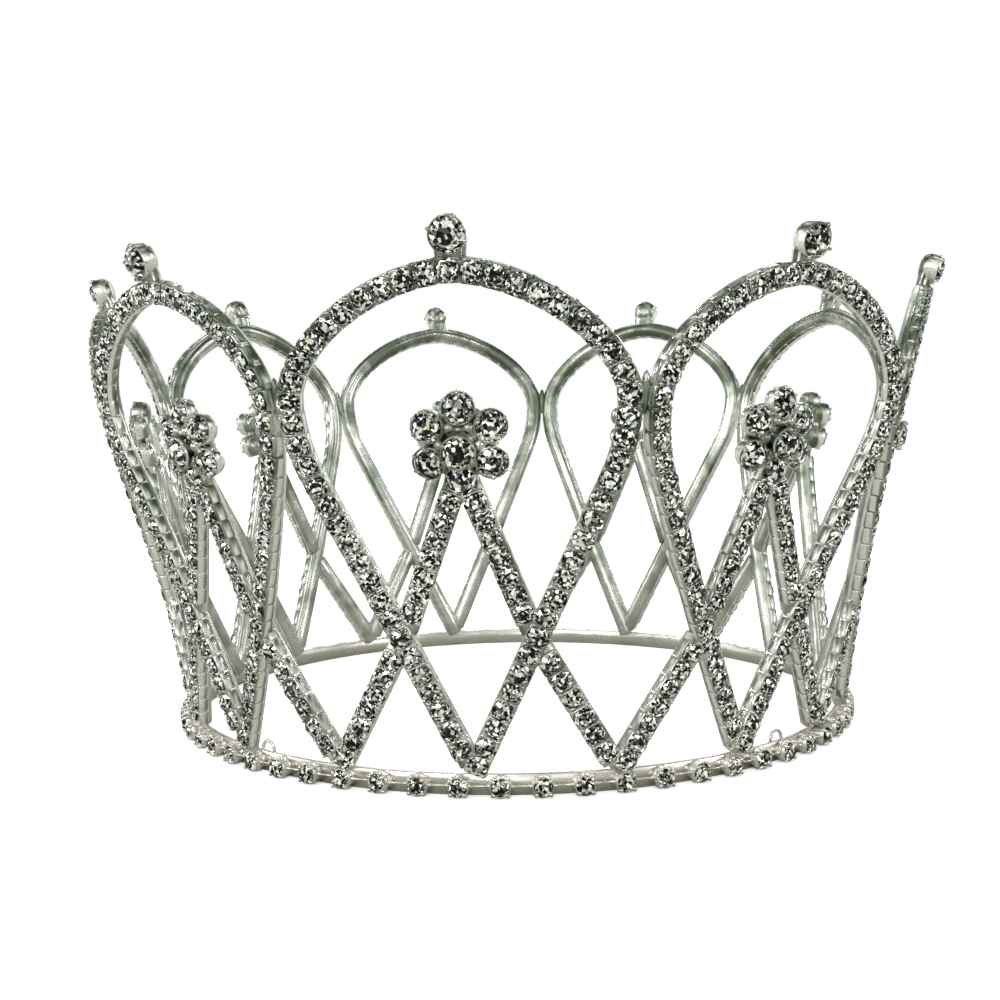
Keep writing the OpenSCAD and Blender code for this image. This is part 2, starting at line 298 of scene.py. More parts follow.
def stretch(route, first, last):
    """The part of a route between two distances along it."""
    points, gone = [], 0.0
    for (p, out_p), (q, out_q) in zip(route, route[1:]):
        step = (q - p).length
        for mark in (first, last):
            if gone <= mark <= gone + step:
                share = (mark - gone) / step
                points.append((mark, p.lerp(q, share), out_p.lerp(out_q, share)))
        gone += step
        if first < gone < last:
            points.append((gone, q, out_q))
    points.sort(key=lambda item: item[0])
    return [(p, out.normalized()) for _, p, out in points]


# Meshes

def around(r, step, steps):
    """The point that lies so many steps round a circle, as a pair of numbers."""
    a = 2 * math.pi * step / steps
    return r * math.cos(a), r * math.sin(a)


def sweep(bm, route, section, nose):
    """A solid strip along a route: section is [across, outward], its ends are rounded."""
    points = [p for p, _ in route]
    middle = sum(b for _, b in section) / len(section)
    last = len(points) - 1
    rings = []
    for i, (p, out) in enumerate(route):
        along = (points[min(i + 1, last)] - points[max(i - 1, 0)]).normalized()
        up = (out - out.dot(along) * along).normalized()
        across = along.cross(up)
        rings.append((p, along, across, up, 1.0))
    rounding = (0.4, 0.75, 0.97)
    for index, sign in ((0, -1), (last, 1)):
        p, along, across, up, _ = rings[index if sign < 0 else -1]
        extra = [(p + along * sign * nose * share, along, across, up,
                  math.sqrt(1 - share * share)) for share in rounding]
        rings = list(reversed(extra)) + rings if sign < 0 else rings + extra
    loops = []
    for p, _, across, up, scale in rings:
        loops.append([bm.verts.new(p + across * a * scale
                                   + up * (middle + (b - middle) * scale))
                      for a, b in section])
    bridge(bm, loops)


def bridge(bm, loops, closed=False):
    """Faces between rings of vertices, with an end face on each end of an open row."""
    pairs = list(zip(loops, loops[1:]))
    if closed:
        pairs.append((loops[-1], loops[0]))
    made = []
    for a, b in pairs:
        n = len(a)
        made += [bm.faces.new((a[j], a[(j + 1) % n], b[(j + 1) % n], b[j]))
                 for j in range(n)]
    if not closed:
        made.append(bm.faces.new(list(reversed(loops[0]))))
        made.append(bm.faces.new(loops[-1]))
    for face in made:
        face.smooth = True


def tube(bm, points, radii, sides, closed=False):
    """A round rod through points, with a radius at each."""
    last = len(points) - 1
    loops = []
    up, upright = Vector((0, 0, 1)), 0.2
    for i, p in enumerate(points):
        if closed:
            along = points[(i + 1) % len(points)] - points[i - 1]
        else:
            along = points[min(i + 1, last)] - points[max(i - 1, 0)]
        along.normalize()
        side = along.cross(up)
        if side.length < upright:
            side = along.cross(Vector((0, 1, 0)))
        side.normalize()
        other = side.cross(along)
        ring = []
        for j in range(sides):
            a = 2 * math.pi * j / sides
            ring.append(bm.verts.new(p + radii[i] * (side * math.cos(a)
                                                     + other * math.sin(a))))
        loops.append(ring)
    bridge(bm, loops, closed)


def lathe(bm, profile, sides, matrix=Matrix()):
    """A closed turned shape from a profile of [radius, height] that ends on the axis."""
    loops = []
    for r, z in profile[1:-1]:
        loops.append([bm.verts.new(matrix @ Vector((*around(r, j, sides), z)))
                      for j in range(sides)])
    ends = [bm.verts.new(matrix @ Vector((0, 0, profile[i][1]))) for i in (0, -1)]
    for a, b in zip(loops, loops[1:]):
        for j in range(sides):
            bm.faces.new((a[j], a[(j + 1) % sides], b[(j + 1) % sides], b[j])).smooth = True
    for end, loop in zip(ends, (loops[0], loops[-1])):
        for j in range(sides):
            bm.faces.new((end, loop[(j + 1) % sides], loop[j])).smooth = True


def prong(bm, way, line, sides, matrix=Matrix()):
    """A rod through rows of [distance along the way, height, radius]."""
    points = [matrix @ (way * r + Vector((0, 0, z))) for r, z, _ in line]
    tube(bm, points, [radius for _, _, radius in line], sides)


def blob(bm, place, at, size):
    """A rounded drop of solder at a point of a place, its point and half sizes in mm."""
    matrix = (place @ Matrix.Translation([v * MM for v in at])
              @ Matrix.Diagonal([v * MM for v in size] + [1.0]))
    made = bmesh.ops.create_icosphere(bm, subdivisions=2, radius=1.0, matrix=matrix)
    for face in {f for v in made["verts"] for f in v.link_faces}:
        face.smooth = True


def mesh_from(bm, name, flat=False):
    """The bmesh as a mesh, its faces turned outwards."""
    bmesh.ops.recalc_face_normals(bm, faces=bm.faces[:])
    if flat:
        for face in bm.faces:
            face.smooth = False
    mesh = bpy.data.meshes.new(name)
    bm.to_mesh(mesh)
    bm.free()
    return mesh


def brilliant(d, name):
    """A round brilliant with its girdle at z = 0 and its table facing +Z."""
    table_r, mid_r, girdle_r, low_r = 0.28 * d, 0.40 * d, 0.5 * d, 0.42 * d
    table_z, mid_z, low_z, tip_z = 0.22 * d, 0.15 * d, -0.08 * d, -0.32 * d
    bm = bmesh.new()

    def ring(count, r, z, shift):
        return [bm.verts.new((*around(r, j + shift, count), z)) for j in range(count)]

    table = ring(8, table_r, table_z, 0)
    mid = ring(8, mid_r, mid_z, 0.5)
    girdle = ring(16, girdle_r, 0, 0)
    low = ring(8, low_r, low_z, 0.5)
    tip = bm.verts.new((0, 0, tip_z))
    bm.faces.new(table)
    for j in range(8):
        nxt = (j + 1) % 8
        bm.faces.new((table[j], table[nxt], mid[j]))
        bm.faces.new((table[j], mid[j - 1], girdle[2 * j], mid[j]))
        bm.faces.new((mid[j], girdle[2 * j], girdle[2 * j + 1]))
        bm.faces.new((mid[j], girdle[2 * j + 1], girdle[(2 * j + 2) % 16]))
        bm.faces.new((low[j - 1], low[j], girdle[2 * j]))
        bm.faces.new((low[j], girdle[2 * j], girdle[2 * j + 1]))
        bm.faces.new((low[j], girdle[2 * j + 1], girdle[(2 * j + 2) % 16]))
        bm.faces.new((low[j - 1], low[j], tip))
    return mesh_from(bm, name, flat=True)


def seat_profile(d):
    """The top of a setting's profile: over its rim and down inside to the stone's seat."""
    rim, inner = d / 2 + RIM, d / 2 + 0.03 * MM
    return [(rim, -0.10 * MM), (rim - 0.04 * MM, 0.12 * MM), (inner, 0.14 * MM),
            (inner, -0.15 * MM), (0.42 * d, -0.12 * d), (0.08 * d, -SEAT * d), (0, -SEAT * d)]


def cup_profile(d, depth):
    """Profile of a setting with a rounded back for a stone of that diameter."""
    rim = d / 2 + RIM
    back = ((0.40, 0.02), (0.66, 0.09), (0.86, 0.25), (0.97, 0.48), (1.0, 0.75))
    return [(0, -depth), *((r * rim, z * rim - depth) for r, z in back), *seat_profile(d)]


def raised_profile(d, depth, post):
    """Profile of the heart's setting: a cone on a post, clear of the petals round it."""
    rim = d / 2 + RIM
    return [(0, -depth), (post, -depth), (post, -SEAT * d - 0.15 * MM),
            (rim - 0.3 * MM, -0.65 * MM), (rim, -0.35 * MM), *seat_profile(d)]


def claws(bm, d, count, shift, matrix=Matrix(), reach=0.0):
    """The claws that hold a stone, bent over its edge and standing out by their reach."""
    rim = d / 2 + 0.22 * MM + reach
    claw = ((-0.22, -0.45, 0.12), (-0.14, -0.05, 0.2), (-0.16, 0.3, 0.28),
            (-0.38, 0.55, 0.3), (-0.64, 0.66, 0.2))
    line = [(rim + r * MM, z * MM, radius * MM) for r, z, radius in claw]
    for i in range(count):
        prong(bm, Vector((*around(1, i + shift, count), 0)), line, sides=7, matrix=matrix)


def setting(d, depth, name):
    """A petal's cup with its six claws, for Geometry Nodes to set out."""
    bm = bmesh.new()
    lathe(bm, cup_profile(d, depth), sides=20)
    claws(bm, d, count=6, shift=0.5)
    return mesh_from(bm, name)


def square_ring(bm, half_x, half_y, z, squareness):
    """A ring of vertices: squareness 1 gives an ellipse and less squares its corners."""
    count = 12
    ring = []
    for j in range(count):
        a = 2 * math.pi * (j + 0.5) / count
        x, y = (math.copysign(abs(v) ** squareness, v) for v in (math.cos(a), math.sin(a)))
        ring.append(bm.verts.new((half_x * x, half_y * y, z)))
    return ring


def strand_cup(pitch, width, d, girdle, name):
    """The square cup of one stone on a strand, where its middle line is z = 0."""
    half_x, half_y, edge = pitch / 2 - 0.01 * MM, width / 2, 0.14 * MM
    rows = ((half_x, half_y, -0.6 * MM, 0.2), (half_x, half_y, girdle - 0.22 * MM, 0.2),
            (half_x - edge, half_y - edge, girdle - 0.06 * MM, 0.4),
            (0.44 * d, 0.44 * d, girdle - 0.1 * d, 1.0),
            (0.06 * d, 0.06 * d, girdle - SEAT * d, 1.0))
    bm = bmesh.new()
    bridge(bm, [square_ring(bm, *row) for row in rows])
    return mesh_from(bm, name)


def strand_prongs(width, girdle, name):
    """The pair of blunt prongs between two stones of a strand."""
    bm = bmesh.new()
    shape = ((-0.36, -0.5, 0.14), (-0.36, -0.2, 0.24), (-0.42, 0.02, 0.30),
             (-0.62, 0.16, 0.30), (-0.86, 0.20, 0.17))
    line = [(width / 2 + y * MM, girdle + z * MM, radius * MM) for y, z, radius in shape]
    for side in (-1, 1):
        prong(bm, Vector((0, side, 0)), line, sides=6)
    return mesh_from(bm, name)


def band_cup(d, depth, name):
    """A cup of the band with its four prongs."""
    bm = bmesh.new()
    rim, foot, prongs = d / 2 + 0.15 * MM, -depth + 0.3 * MM, 4
    profile = [(0, -depth), (0.8 * rim, -depth), (rim, foot), (rim, -0.05 * MM),
               (rim - 0.1 * MM, 0.06 * MM), (0.42 * d, -0.1 * d), (0, -SEAT * d)]
    lathe(bm, profile, sides=14)
    line = ((rim - 0.02 * MM, foot, 0.25 * MM), (rim + 0.06 * MM, -0.3 * MM, 0.3 * MM),
            (rim - 0.02 * MM, 0.18 * MM, 0.34 * MM), (rim - 0.3 * MM, 0.46 * MM, 0.3 * MM),
            (rim - 0.48 * MM, 0.56 * MM, 0.14 * MM))
    for i in range(prongs):
        prong(bm, Vector((*around(1, i + 0.5, prongs), 0)), line, sides=6)
    return mesh_from(bm, name)


# Nodes

class Wires:
    """Adds nodes to a tree. A socket given for an input is linked, any other value is set."""

    def __init__(self, tree):
        self.tree = tree

    def fill(self, socket, value):
        """Links a socket to another one, or sets its value."""
        if isinstance(value, bpy.types.NodeSocket):
            self.tree.links.new(value, socket)
        else:
            socket.default_value = value

    def node(self, kind, inputs=None, **settings):
        """A node with its settings made and its inputs filled, by name or number."""
        node = self.tree.nodes.new(kind)
        for name, value in settings.items():
            setattr(node, name, value)
        for key, value in (inputs or {}).items():
            self.fill(node.inputs[key], value)
        return node

    def number(self, operation, *values):
        """A number worked out from others."""
        node = self.node("ShaderNodeMath", dict(enumerate(values)), operation=operation)
        return node.outputs["Value"]

    def vector(self, operation, *values):
        """A vector worked out from others, or a length or dot product."""
        node = self.node("ShaderNodeVectorMath", dict(enumerate(values)), operation=operation)
        return node.outputs["Value" if operation in ("LENGTH", "DOT_PRODUCT") else "Vector"]

    def parts(self, vector):
        """The parts X, Y and Z of a vector."""
        return self.node("ShaderNodeSeparateXYZ", {"Vector": vector}).outputs

    def spread(self, value, low, high, at_low=0.0, at_high=1.0):
        """A number taken from one range to another, and kept inside it."""
        return self.node("ShaderNodeMapRange", {
            "Value": value, "From Min": low, "From Max": high, "To Min": at_low,
            "To Max": at_high}).outputs["Result"]

    def mix(self, share, first, second, blend="MIX"):
        """A colour between two others."""
        return self.node("ShaderNodeMix", {0: share, 6: first, 7: second},
                         data_type="RGBA", blend_type=blend).outputs[2]

    def noise(self, place, **inputs):
        """The value of a noise texture."""
        return self.node("ShaderNodeTexNoise", {"Vector": place, **inputs}).outputs["Fac"]

    def ramp(self, value, stops, interpolation="LINEAR"):
        """A colour read off a ramp, whose stops are a position and a colour each."""
        node = self.node("ShaderNodeValToRGB", {"Fac": value})
        ramp = node.color_ramp
        ramp.interpolation = interpolation
        while len(ramp.elements) < len(stops):
            ramp.elements.new(0.5)
        for element, (at, value) in zip(ramp.elements, stops):
            element.position = at
            element.color = value
        return node.outputs["Color"]


def chain_tree():
    """Sets a unit out along a path and turns it to face out, with a little sway."""
    name = "Set along a path"
    if name in bpy.data.node_groups:
        return bpy.data.node_groups[name]
    tree = bpy.data.node_groups.new(name, "GeometryNodeTree")
    for label, kind in (("Path", "Geometry"), ("Unit", "Object"), ("Count", "Int"),
                        ("Sway", "Float"), ("Spin", "Float"), ("Seed", "Int"),
                        ("Finish", "Material")):
        tree.interface.new_socket(label, in_out="INPUT", socket_type="NodeSocket" + kind)
    tree.interface.new_socket("Row", in_out="OUTPUT", socket_type="NodeSocketGeometry")
    add = Wires(tree)
    given = add.node("NodeGroupInput").outputs
    curve = add.node("GeometryNodeMeshToCurve", {"Mesh": given["Path"]}).outputs["Curve"]
    points = add.node("GeometryNodeResampleCurve", {"Curve": curve, "Count": given["Count"]},
                      mode="COUNT").outputs["Curve"]

    outward = add.node("GeometryNodeInputNamedAttribute", {"Name": "outward"},
                       data_type="FLOAT_VECTOR").outputs["Attribute"]
    face_out = add.node("FunctionNodeAlignRotationToVector", {"Vector": outward}, axis="Z")
    along = add.node("FunctionNodeAlignRotationToVector", {
        "Rotation": face_out.outputs["Rotation"],
        "Vector": add.node("GeometryNodeInputTangent").outputs["Tangent"]},
        axis="X", pivot_axis="Z")

    draw = add.node("FunctionNodeRandomValue", {
        "Min": (-1, -1, -1), "Max": (1, 1, 1), "Seed": given["Seed"]},
        data_type="FLOAT_VECTOR").outputs["Value"]
    most = add.node("ShaderNodeCombineXYZ", {
        "X": given["Sway"], "Y": given["Sway"], "Z": given["Spin"]}).outputs["Vector"]
    sway = add.node("FunctionNodeEulerToRotation", {"Euler": add.vector("MULTIPLY", draw, most)})
    turn = add.node("FunctionNodeRotateRotation", {
        "Rotation": along.outputs["Rotation"], "Rotate By": sway.outputs["Rotation"]},
        rotation_space="LOCAL")

    unit = add.node("GeometryNodeObjectInfo", {"Object": given["Unit"]}).outputs["Geometry"]
    row = add.node("GeometryNodeInstanceOnPoints", {
        "Points": points, "Instance": unit, "Rotation": turn.outputs["Rotation"]})
    real = add.node("GeometryNodeRealizeInstances", {"Geometry": row.outputs["Instances"]})
    # A random draw for each face, kept as facet, picks that facet's painted reflection tone
    painted_tone = add.node("FunctionNodeRandomValue", {"Seed": given["Seed"]}, data_type="FLOAT")
    store = add.node("GeometryNodeStoreNamedAttribute", {
        "Name": "facet", "Geometry": real.outputs["Geometry"]},
        data_type="FLOAT", domain="FACE")
    add.fill(next(i for i in store.inputs if i.name == "Value" and i.enabled),
             next(o for o in painted_tone.outputs if o.enabled))
    finish = add.node("GeometryNodeSetMaterial", {
        "Geometry": store.outputs["Geometry"], "Material": given["Finish"]})
    add.node("NodeGroupOutput", {"Row": finish.outputs["Geometry"]})
    return tree


def path_mesh(routes, closed=False):
    """The routes as edges, each point with the way that a unit faces there."""
    verts, edges, outs = [], [], []
    for route in routes:
        first = len(verts)
        verts += [p for p, _ in route]
        outs += [tuple(out) for _, out in route]
        edges += [(i, i + 1) for i in range(first, len(verts) - 1)]
        if closed:
            edges.append((len(verts) - 1, first))
    mesh = bpy.data.meshes.new("path")
    mesh.from_pydata(verts, edges, [])
    layer = mesh.attributes.new("outward", "FLOAT_VECTOR", "POINT")
    for value, out in zip(layer.data, outs):
        value.vector = out
    return mesh


def set_along(routes, unit_mesh, count, finish, sway=0.0, spin=0.0, seed=0, closed=False):
    """A plain mesh of the unit set out count times along each route."""
    tree = chain_tree()
    ids = {item.name: item.identifier for item in tree.interface.items_tree
           if item.in_out == "INPUT"}
    unit = bpy.data.objects.new("unit", unit_mesh)
    holder = bpy.data.objects.new("row", path_mesh(routes, closed))
    for item in (unit, holder):
        bpy.context.scene.collection.objects.link(item)
    nodes = holder.modifiers.new("Set along a path", "NODES")
    nodes.node_group = tree
    for label, value in (("Unit", unit), ("Count", count), ("Sway", sway), ("Spin", spin),
                         ("Seed", seed), ("Finish", finish)):
        nodes[ids[label]] = value
    bpy.context.view_layer.update()
    ready = holder.evaluated_get(bpy.context.evaluated_depsgraph_get())
    mesh = bpy.data.meshes.new_from_object(ready)
    for item in (unit, holder):
        bpy.data.objects.remove(item)
    if not mesh.polygons:
        raise RuntimeError("a row of units came out empty")
    return mesh


# Materials

def shader_group(name, given, makes):
    """A new shader group. Its inputs have a default each, colours as four numbers; its
    outputs have a kind each."""
    group = bpy.data.node_groups.new(name, "ShaderNodeTree")
    for label, default in given.items():
        kind = "NodeSocketColor" if isinstance(default, tuple) else "NodeSocketFloat"
        socket = group.interface.new_socket(label, in_out="INPUT", socket_type=kind)
        socket.default_value = default
    for label, kind in makes.items():
        group.interface.new_socket(label, in_out="OUTPUT", socket_type="NodeSocket" + kind)
    return group


def plating_group():
    """Silver plating with painted light: dark patches and darkening towards the top that stand in
    for dark reflections, a paler painted light colour and less of a mirror on the walls that face
    neither in, out nor up, and roughness uneven in the same patches, as from polishing by hand."""
    name = "Uneven plating"
    if name in bpy.data.node_groups:
        return bpy.data.node_groups[name]
    group = shader_group(
        name,
        {"Color": (0.7, 0.7, 0.7, 1), "Painted Dark Color": (0.3, 0.3, 0.3, 1),
         "Wall Painted Light": (0.86, 0.85, 0.78, 1), "Patch Scale": 260.0,
         "Least Roughness": 0.16, "Most Roughness": 0.34},
        {"Color": "Color", "Metallic": "Float", "Roughness": "Float", "Height": "Float"})
    # How much darker a metre up makes the plating, as painted dark reflection, and between which
    # values the painted dark colour takes over
    darker_up, dark_from, dark_to = 2.4, 0.48, 0.76
    # How much of the normal may point in or out, and how much up, before a wall begins to look
    # like a face or a top, and from where on it is one. Walls get a pale painted light colour.
    wall_to, face_from, side_to, top_from = 0.3, 0.5, 0.15, 0.55
    wall_metallic = 0.6
    add = Wires(group)
    given = add.node("NodeGroupInput").outputs
    place = add.node("ShaderNodeTexCoord").outputs["Object"]
    patches = add.noise(place, Scale=given["Patch Scale"], Detail=3.0, Roughness=0.6)
    # The noise patches and the height lay on the painted dark reflections
    painted_dark = add.number("MULTIPLY_ADD", add.parts(place)["Z"], darker_up, patches)
    metal = add.mix(add.spread(painted_dark, dark_from, dark_to), given["Color"],
                    given["Painted Dark Color"])
    radial = add.vector("NORMALIZE", add.vector("MULTIPLY", place, (1, 1, 0)))
    normal = add.node("ShaderNodeNewGeometry").outputs["Normal"]
    facing = add.number("ABSOLUTE", add.vector("DOT_PRODUCT", radial, normal))
    wall = add.number("MULTIPLY", add.spread(facing, wall_to, face_from, 1.0, 0.0),
                      add.spread(add.parts(normal)["Z"], side_to, top_from, 1.0, 0.0))
    # Walls facing sideways take the pale painted light colour and are less metallic
    add.node("NodeGroupOutput", {
        "Color": add.mix(wall, metal, given["Wall Painted Light"]),
        "Metallic": add.spread(wall, 0.0, 1.0, 1.0, wall_metallic),
        "Roughness": add.spread(patches, 0.3, 0.7, given["Least Roughness"],
                                given["Most Roughness"]),
        "Height": add.noise(place, Scale=230.0, Detail=0.5)})
    return group


def facet_group():
    """Painted reflections of cut facets over foil: near black, grey and white patches with faint
    tints, set per facet and cell instead of by the lights, and the brightest of them again as
    painted glints that glow."""
    name = "Facet tones"
    if name in bpy.data.node_groups:
        return bpy.data.node_groups[name]
    group = shader_group(name, {"Bright Color": (0.95, 0.97, 1, 1), "Cells": 1200.0},
                         {"Color": "Color", "Glint": "Color"})
    add = Wires(group)
    given = add.node("NodeGroupInput").outputs
    place = add.node("ShaderNodeTexCoord").outputs["Object"]
    cells = add.node("ShaderNodeTexVoronoi", {"Vector": place, "Scale": given["Cells"]})
    drawn = add.node("ShaderNodeSeparateColor", {"Color": cells.outputs["Color"]}).outputs
    facet = add.node("ShaderNodeAttribute", attribute_name="facet").outputs["Fac"]
    step = add.number("FRACT", add.number("ADD", facet, drawn["Red"]))
    painted_tone = add.ramp(step, [(at, (v, v, v, 1)) for at, v in PAINTED_REFLECTION_TONES], "CONSTANT")
    tint = add.ramp(drawn["Green"], PAINTED_REFLECTION_TINTS, "CONSTANT")
    shade = add.mix(1.0, add.mix(1.0, painted_tone, tint, "MULTIPLY"), given["Bright Color"],
                    "MULTIPLY")
    add.node("NodeGroupOutput", {
        "Color": shade,
        "Glint": add.mix(add.spread(step, GLINT_FROM, 1.0), (0, 0, 0, 1), shade)})
    return group


def plain_material(name):
    """A new material, its maker of nodes and the inputs of its Principled shader."""
    material = bpy.data.materials.new(name)
    material.use_nodes = True
    tree = material.node_tree
    return material, Wires(tree), tree.nodes["Principled BSDF"].inputs


def silver(name, bright, painted_dark, patch, least, most):
    """Silver plating with its own colours, painted dark reflections and painted wall light, patch
    scale and polish.
    """
    if name in bpy.data.materials:
        return bpy.data.materials[name]
    material, add, shader = plain_material(name)
    # Pale painted light for the walls that face sideways
    wall = bpy.context.scene.crown_finish.painted_wall_light
    plating = add.node("ShaderNodeGroup", {
        "Color": (*bright, 1), "Painted Dark Color": (*painted_dark, 1), "Wall Painted Light": (*wall, 1),
        "Patch Scale": patch, "Least Roughness": least, "Most Roughness": most},
        node_tree=plating_group()).outputs
    bump = add.node("ShaderNodeBump", {
        "Strength": 0.5, "Distance": 0.35 * MM, "Height": plating["Height"]})
    add.fill(shader["Base Color"], plating["Color"])
    add.fill(shader["Metallic"], plating["Metallic"])
    add.fill(shader["Roughness"], plating["Roughness"])
    add.fill(shader["Normal"], bump.outputs["Normal"])
    return material


def strand_silver():
    """Plating of strands and settings."""
    finish = bpy.context.scene.crown_finish
    return silver("Strand silver", finish.silver, finish.painted_dark_silver, patch=110.0, least=0.2,
                  most=0.36)


def band_silver():
    """Smoother, warmer plating of the flat band."""
    finish = bpy.context.scene.crown_finish
    # The band's painted dark reflections are a milder share of its silver
    painted_dark_share = 0.8
    painted_dark = [painted_dark_share * value for value in finish.band_silver]
    return silver("Band silver", finish.band_silver, painted_dark, patch=90.0, least=0.2, most=0.34)


def crystal(name, cells):
    """Crystal whose facets carry painted reflections, near black to white tones that stay the
    same whatever the lights.
    """
    if name in bpy.data.materials:
        return bpy.data.materials[name]
    material, add, shader = plain_material(name)
    tint = bpy.context.scene.crown_finish.crystal_tint
    facets = add.node("ShaderNodeGroup", {"Bright Color": (*tint, 1), "Cells": cells},
                      node_tree=facet_group()).outputs
    # The brightest painted facets glow through the emission as painted glints, whatever the
    # lights
    for label, value in (("Metallic", 0.75), ("Roughness", 0.08), ("Coat Weight", 0.3),
                         ("Coat Roughness", 0.02), ("Emission Strength", 0.7),
                         ("Base Color", facets["Color"]), ("Emission Color", facets["Glint"])):
        add.fill(shader[label], value)
    return material


def small_crystal():
    """Stones of the strands and the band."""
    return crystal("Small crystal", cells=2100.0)


def large_crystal():
    """Stones of the flowers and the finials."""
    return crystal("Large crystal", cells=1750.0)


# Pieces

def add_piece(name, meshes, finish, slot, *nodes):
    """One named piece from one or more meshes, riding on the body and wearing its finish; its
    slot is not used.
    """
    if len(meshes) == 1:
        mesh = meshes[0]
    else:
        bm = bmesh.new()
        for part in meshes:
            bm.from_mesh(part)
        mesh = bpy.data.meshes.new(name)
        bm.to_mesh(mesh)
        bm.free()
        for part in meshes:
            bpy.data.meshes.remove(part)
    mesh.name = name
    mesh.materials.clear()
    mesh.materials.append(finish)
    piece = bpy.data.objects.new(name, mesh)
    bpy.context.scene.collection.objects.link(piece)
    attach(piece, "root")
    if nodes:
        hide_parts(*nodes)
    return piece


def strand_section(sizes):
    """Section of a strand under its cups: a rounded back and a narrower core."""
    half, top, wall = sizes.strand_width / 2 - 0.02 * MM, 0.5 * MM, -0.5 * MM
    core = half - 0.12 * MM
    back = sizes.strand_depth / 2 + wall
    points = [(core, top), (core, wall + 0.12 * MM), (half - 0.05 * MM, wall + 0.08 * MM),
              (half, wall)]
    steps = 9
    for i in range(1, steps):
        a = math.pi * i / steps
        points.append((half * math.cos(a), wall - back * math.sin(a)))
    return points + [(-half, wall), (-half + 0.05 * MM, wall + 0.08 * MM),
                     (-core, wall + 0.12 * MM), (-core, top)]


def strand_metal(routes, ends):
    """Strips, cups and prongs of strands; ends are each route's lengths without stones."""
    sizes, finish = bpy.context.scene.crown_sizes, bpy.context.scene.crown_finish
    section, nose = strand_section(sizes), 0.5 * MM
    bm = bmesh.new()
    for route in routes:
        sweep(bm, route, section, nose)
    meshes = [mesh_from(bm, "strip")]
    cup = strand_cup(finish.stone_pitch, sizes.strand_width, finish.strand_stone_d,
                     finish.strand_girdle, "cup")
    prongs = strand_prongs(sizes.strand_width, finish.strand_girdle, "prongs")
    for route, (first, last) in zip(routes, ends):
        row, count = stone_row(route, first, last)
        meshes.append(set_along([stretch(route, *row)], cup, count, strand_silver()))
        half = (row[1] - row[0]) / (count - 1) / 2
        between = stretch(route, row[0] + half, row[1] - half)
        meshes.append(set_along([between], prongs, count - 1, strand_silver()))
        for mark in (row[0] - END_PRONG * half, row[1] + END_PRONG * half):
            end = prongs.copy()
            end.transform(place_on(route, mark))
            meshes.append(end)
    return meshes


def place_on(route, mark):
    """Matrix of a route at a distance along it: X along, Z the way that stones face."""
    step = 0.2 * MM
    (p, _), *_, (q, out) = stretch(route, max(mark - step, 0.0), mark + step)
    along = (q - p).normalized()
    up = (out - out.dot(along) * along).normalized()
    ways = Matrix((along, up.cross(along), up)).transposed().to_4x4()
    return Matrix.Translation(p.lerp(q, 0.5)) @ ways


def stone_row(route, first, last):
    """Distances of the first and last stones along a route, and how many there are."""
    finish = bpy.context.scene.crown_finish
    usable = route_length(route) - first - last
    count = max(2, round(usable / finish.stone_pitch))
    pitch = usable / count
    return (first + pitch / 2, first + usable - pitch / 2), count


def strand_stones(routes, ends, draw):
    """A row of brilliants for each route. The number of the draw sets their painted reflection
    tones apart.
    """
    finish = bpy.context.scene.crown_finish
    draws_apart = 10
    meshes = []
    for index, (route, (first, last)) in enumerate(zip(routes, ends)):
        row, count = stone_row(route, first, last)
        raised = [(p + out * finish.strand_girdle, out) for p, out in stretch(route, *row)]
        stone = brilliant(finish.strand_stone_d, "stone")
        stone.transform(Matrix.Diagonal((1, STONE_WIDER, STONE_FLATTER, 1)))
        meshes.append(set_along([raised], stone, count, small_crystal(),
                                sway=finish.stone_sway, spin=STONE_SPIN,
                                seed=finish.seed + draws_apart * draw + index))
    return meshes


def add_strands(what, k, routes, ends, extra):
    """The two pieces of a lobe's strands: metal, with what is soldered to it, and stones."""
    metal = strand_metal(routes, ends) + extra
    add_piece(f"{what}_metal_{k}", metal, strand_silver(), METAL_SLOT, f"{what}_{k}")
    add_piece(f"{what}_crystals_{k}", strand_stones(routes, ends, DRAWS[what] + k),
              small_crystal(), CRYSTAL_SLOT)


def ring_of(matrices):
    """A closed path through places, each facing along its Z."""
    return [(m.translation.copy(), m.col[2].to_3d().normalized()) for m in matrices]


def single_stone(d, matrix, seed):
    """One brilliant placed by a matrix, with a random draw for each facet that picks its painted
    reflection tone.
    """
    mesh = brilliant(d, "stone")
    mesh.transform(matrix)
    layer = mesh.attributes.new("facet", "FLOAT", "FACE")
    draw = random.Random(seed)
    for value in layer.data:
        value.value = draw.random()
    return mesh


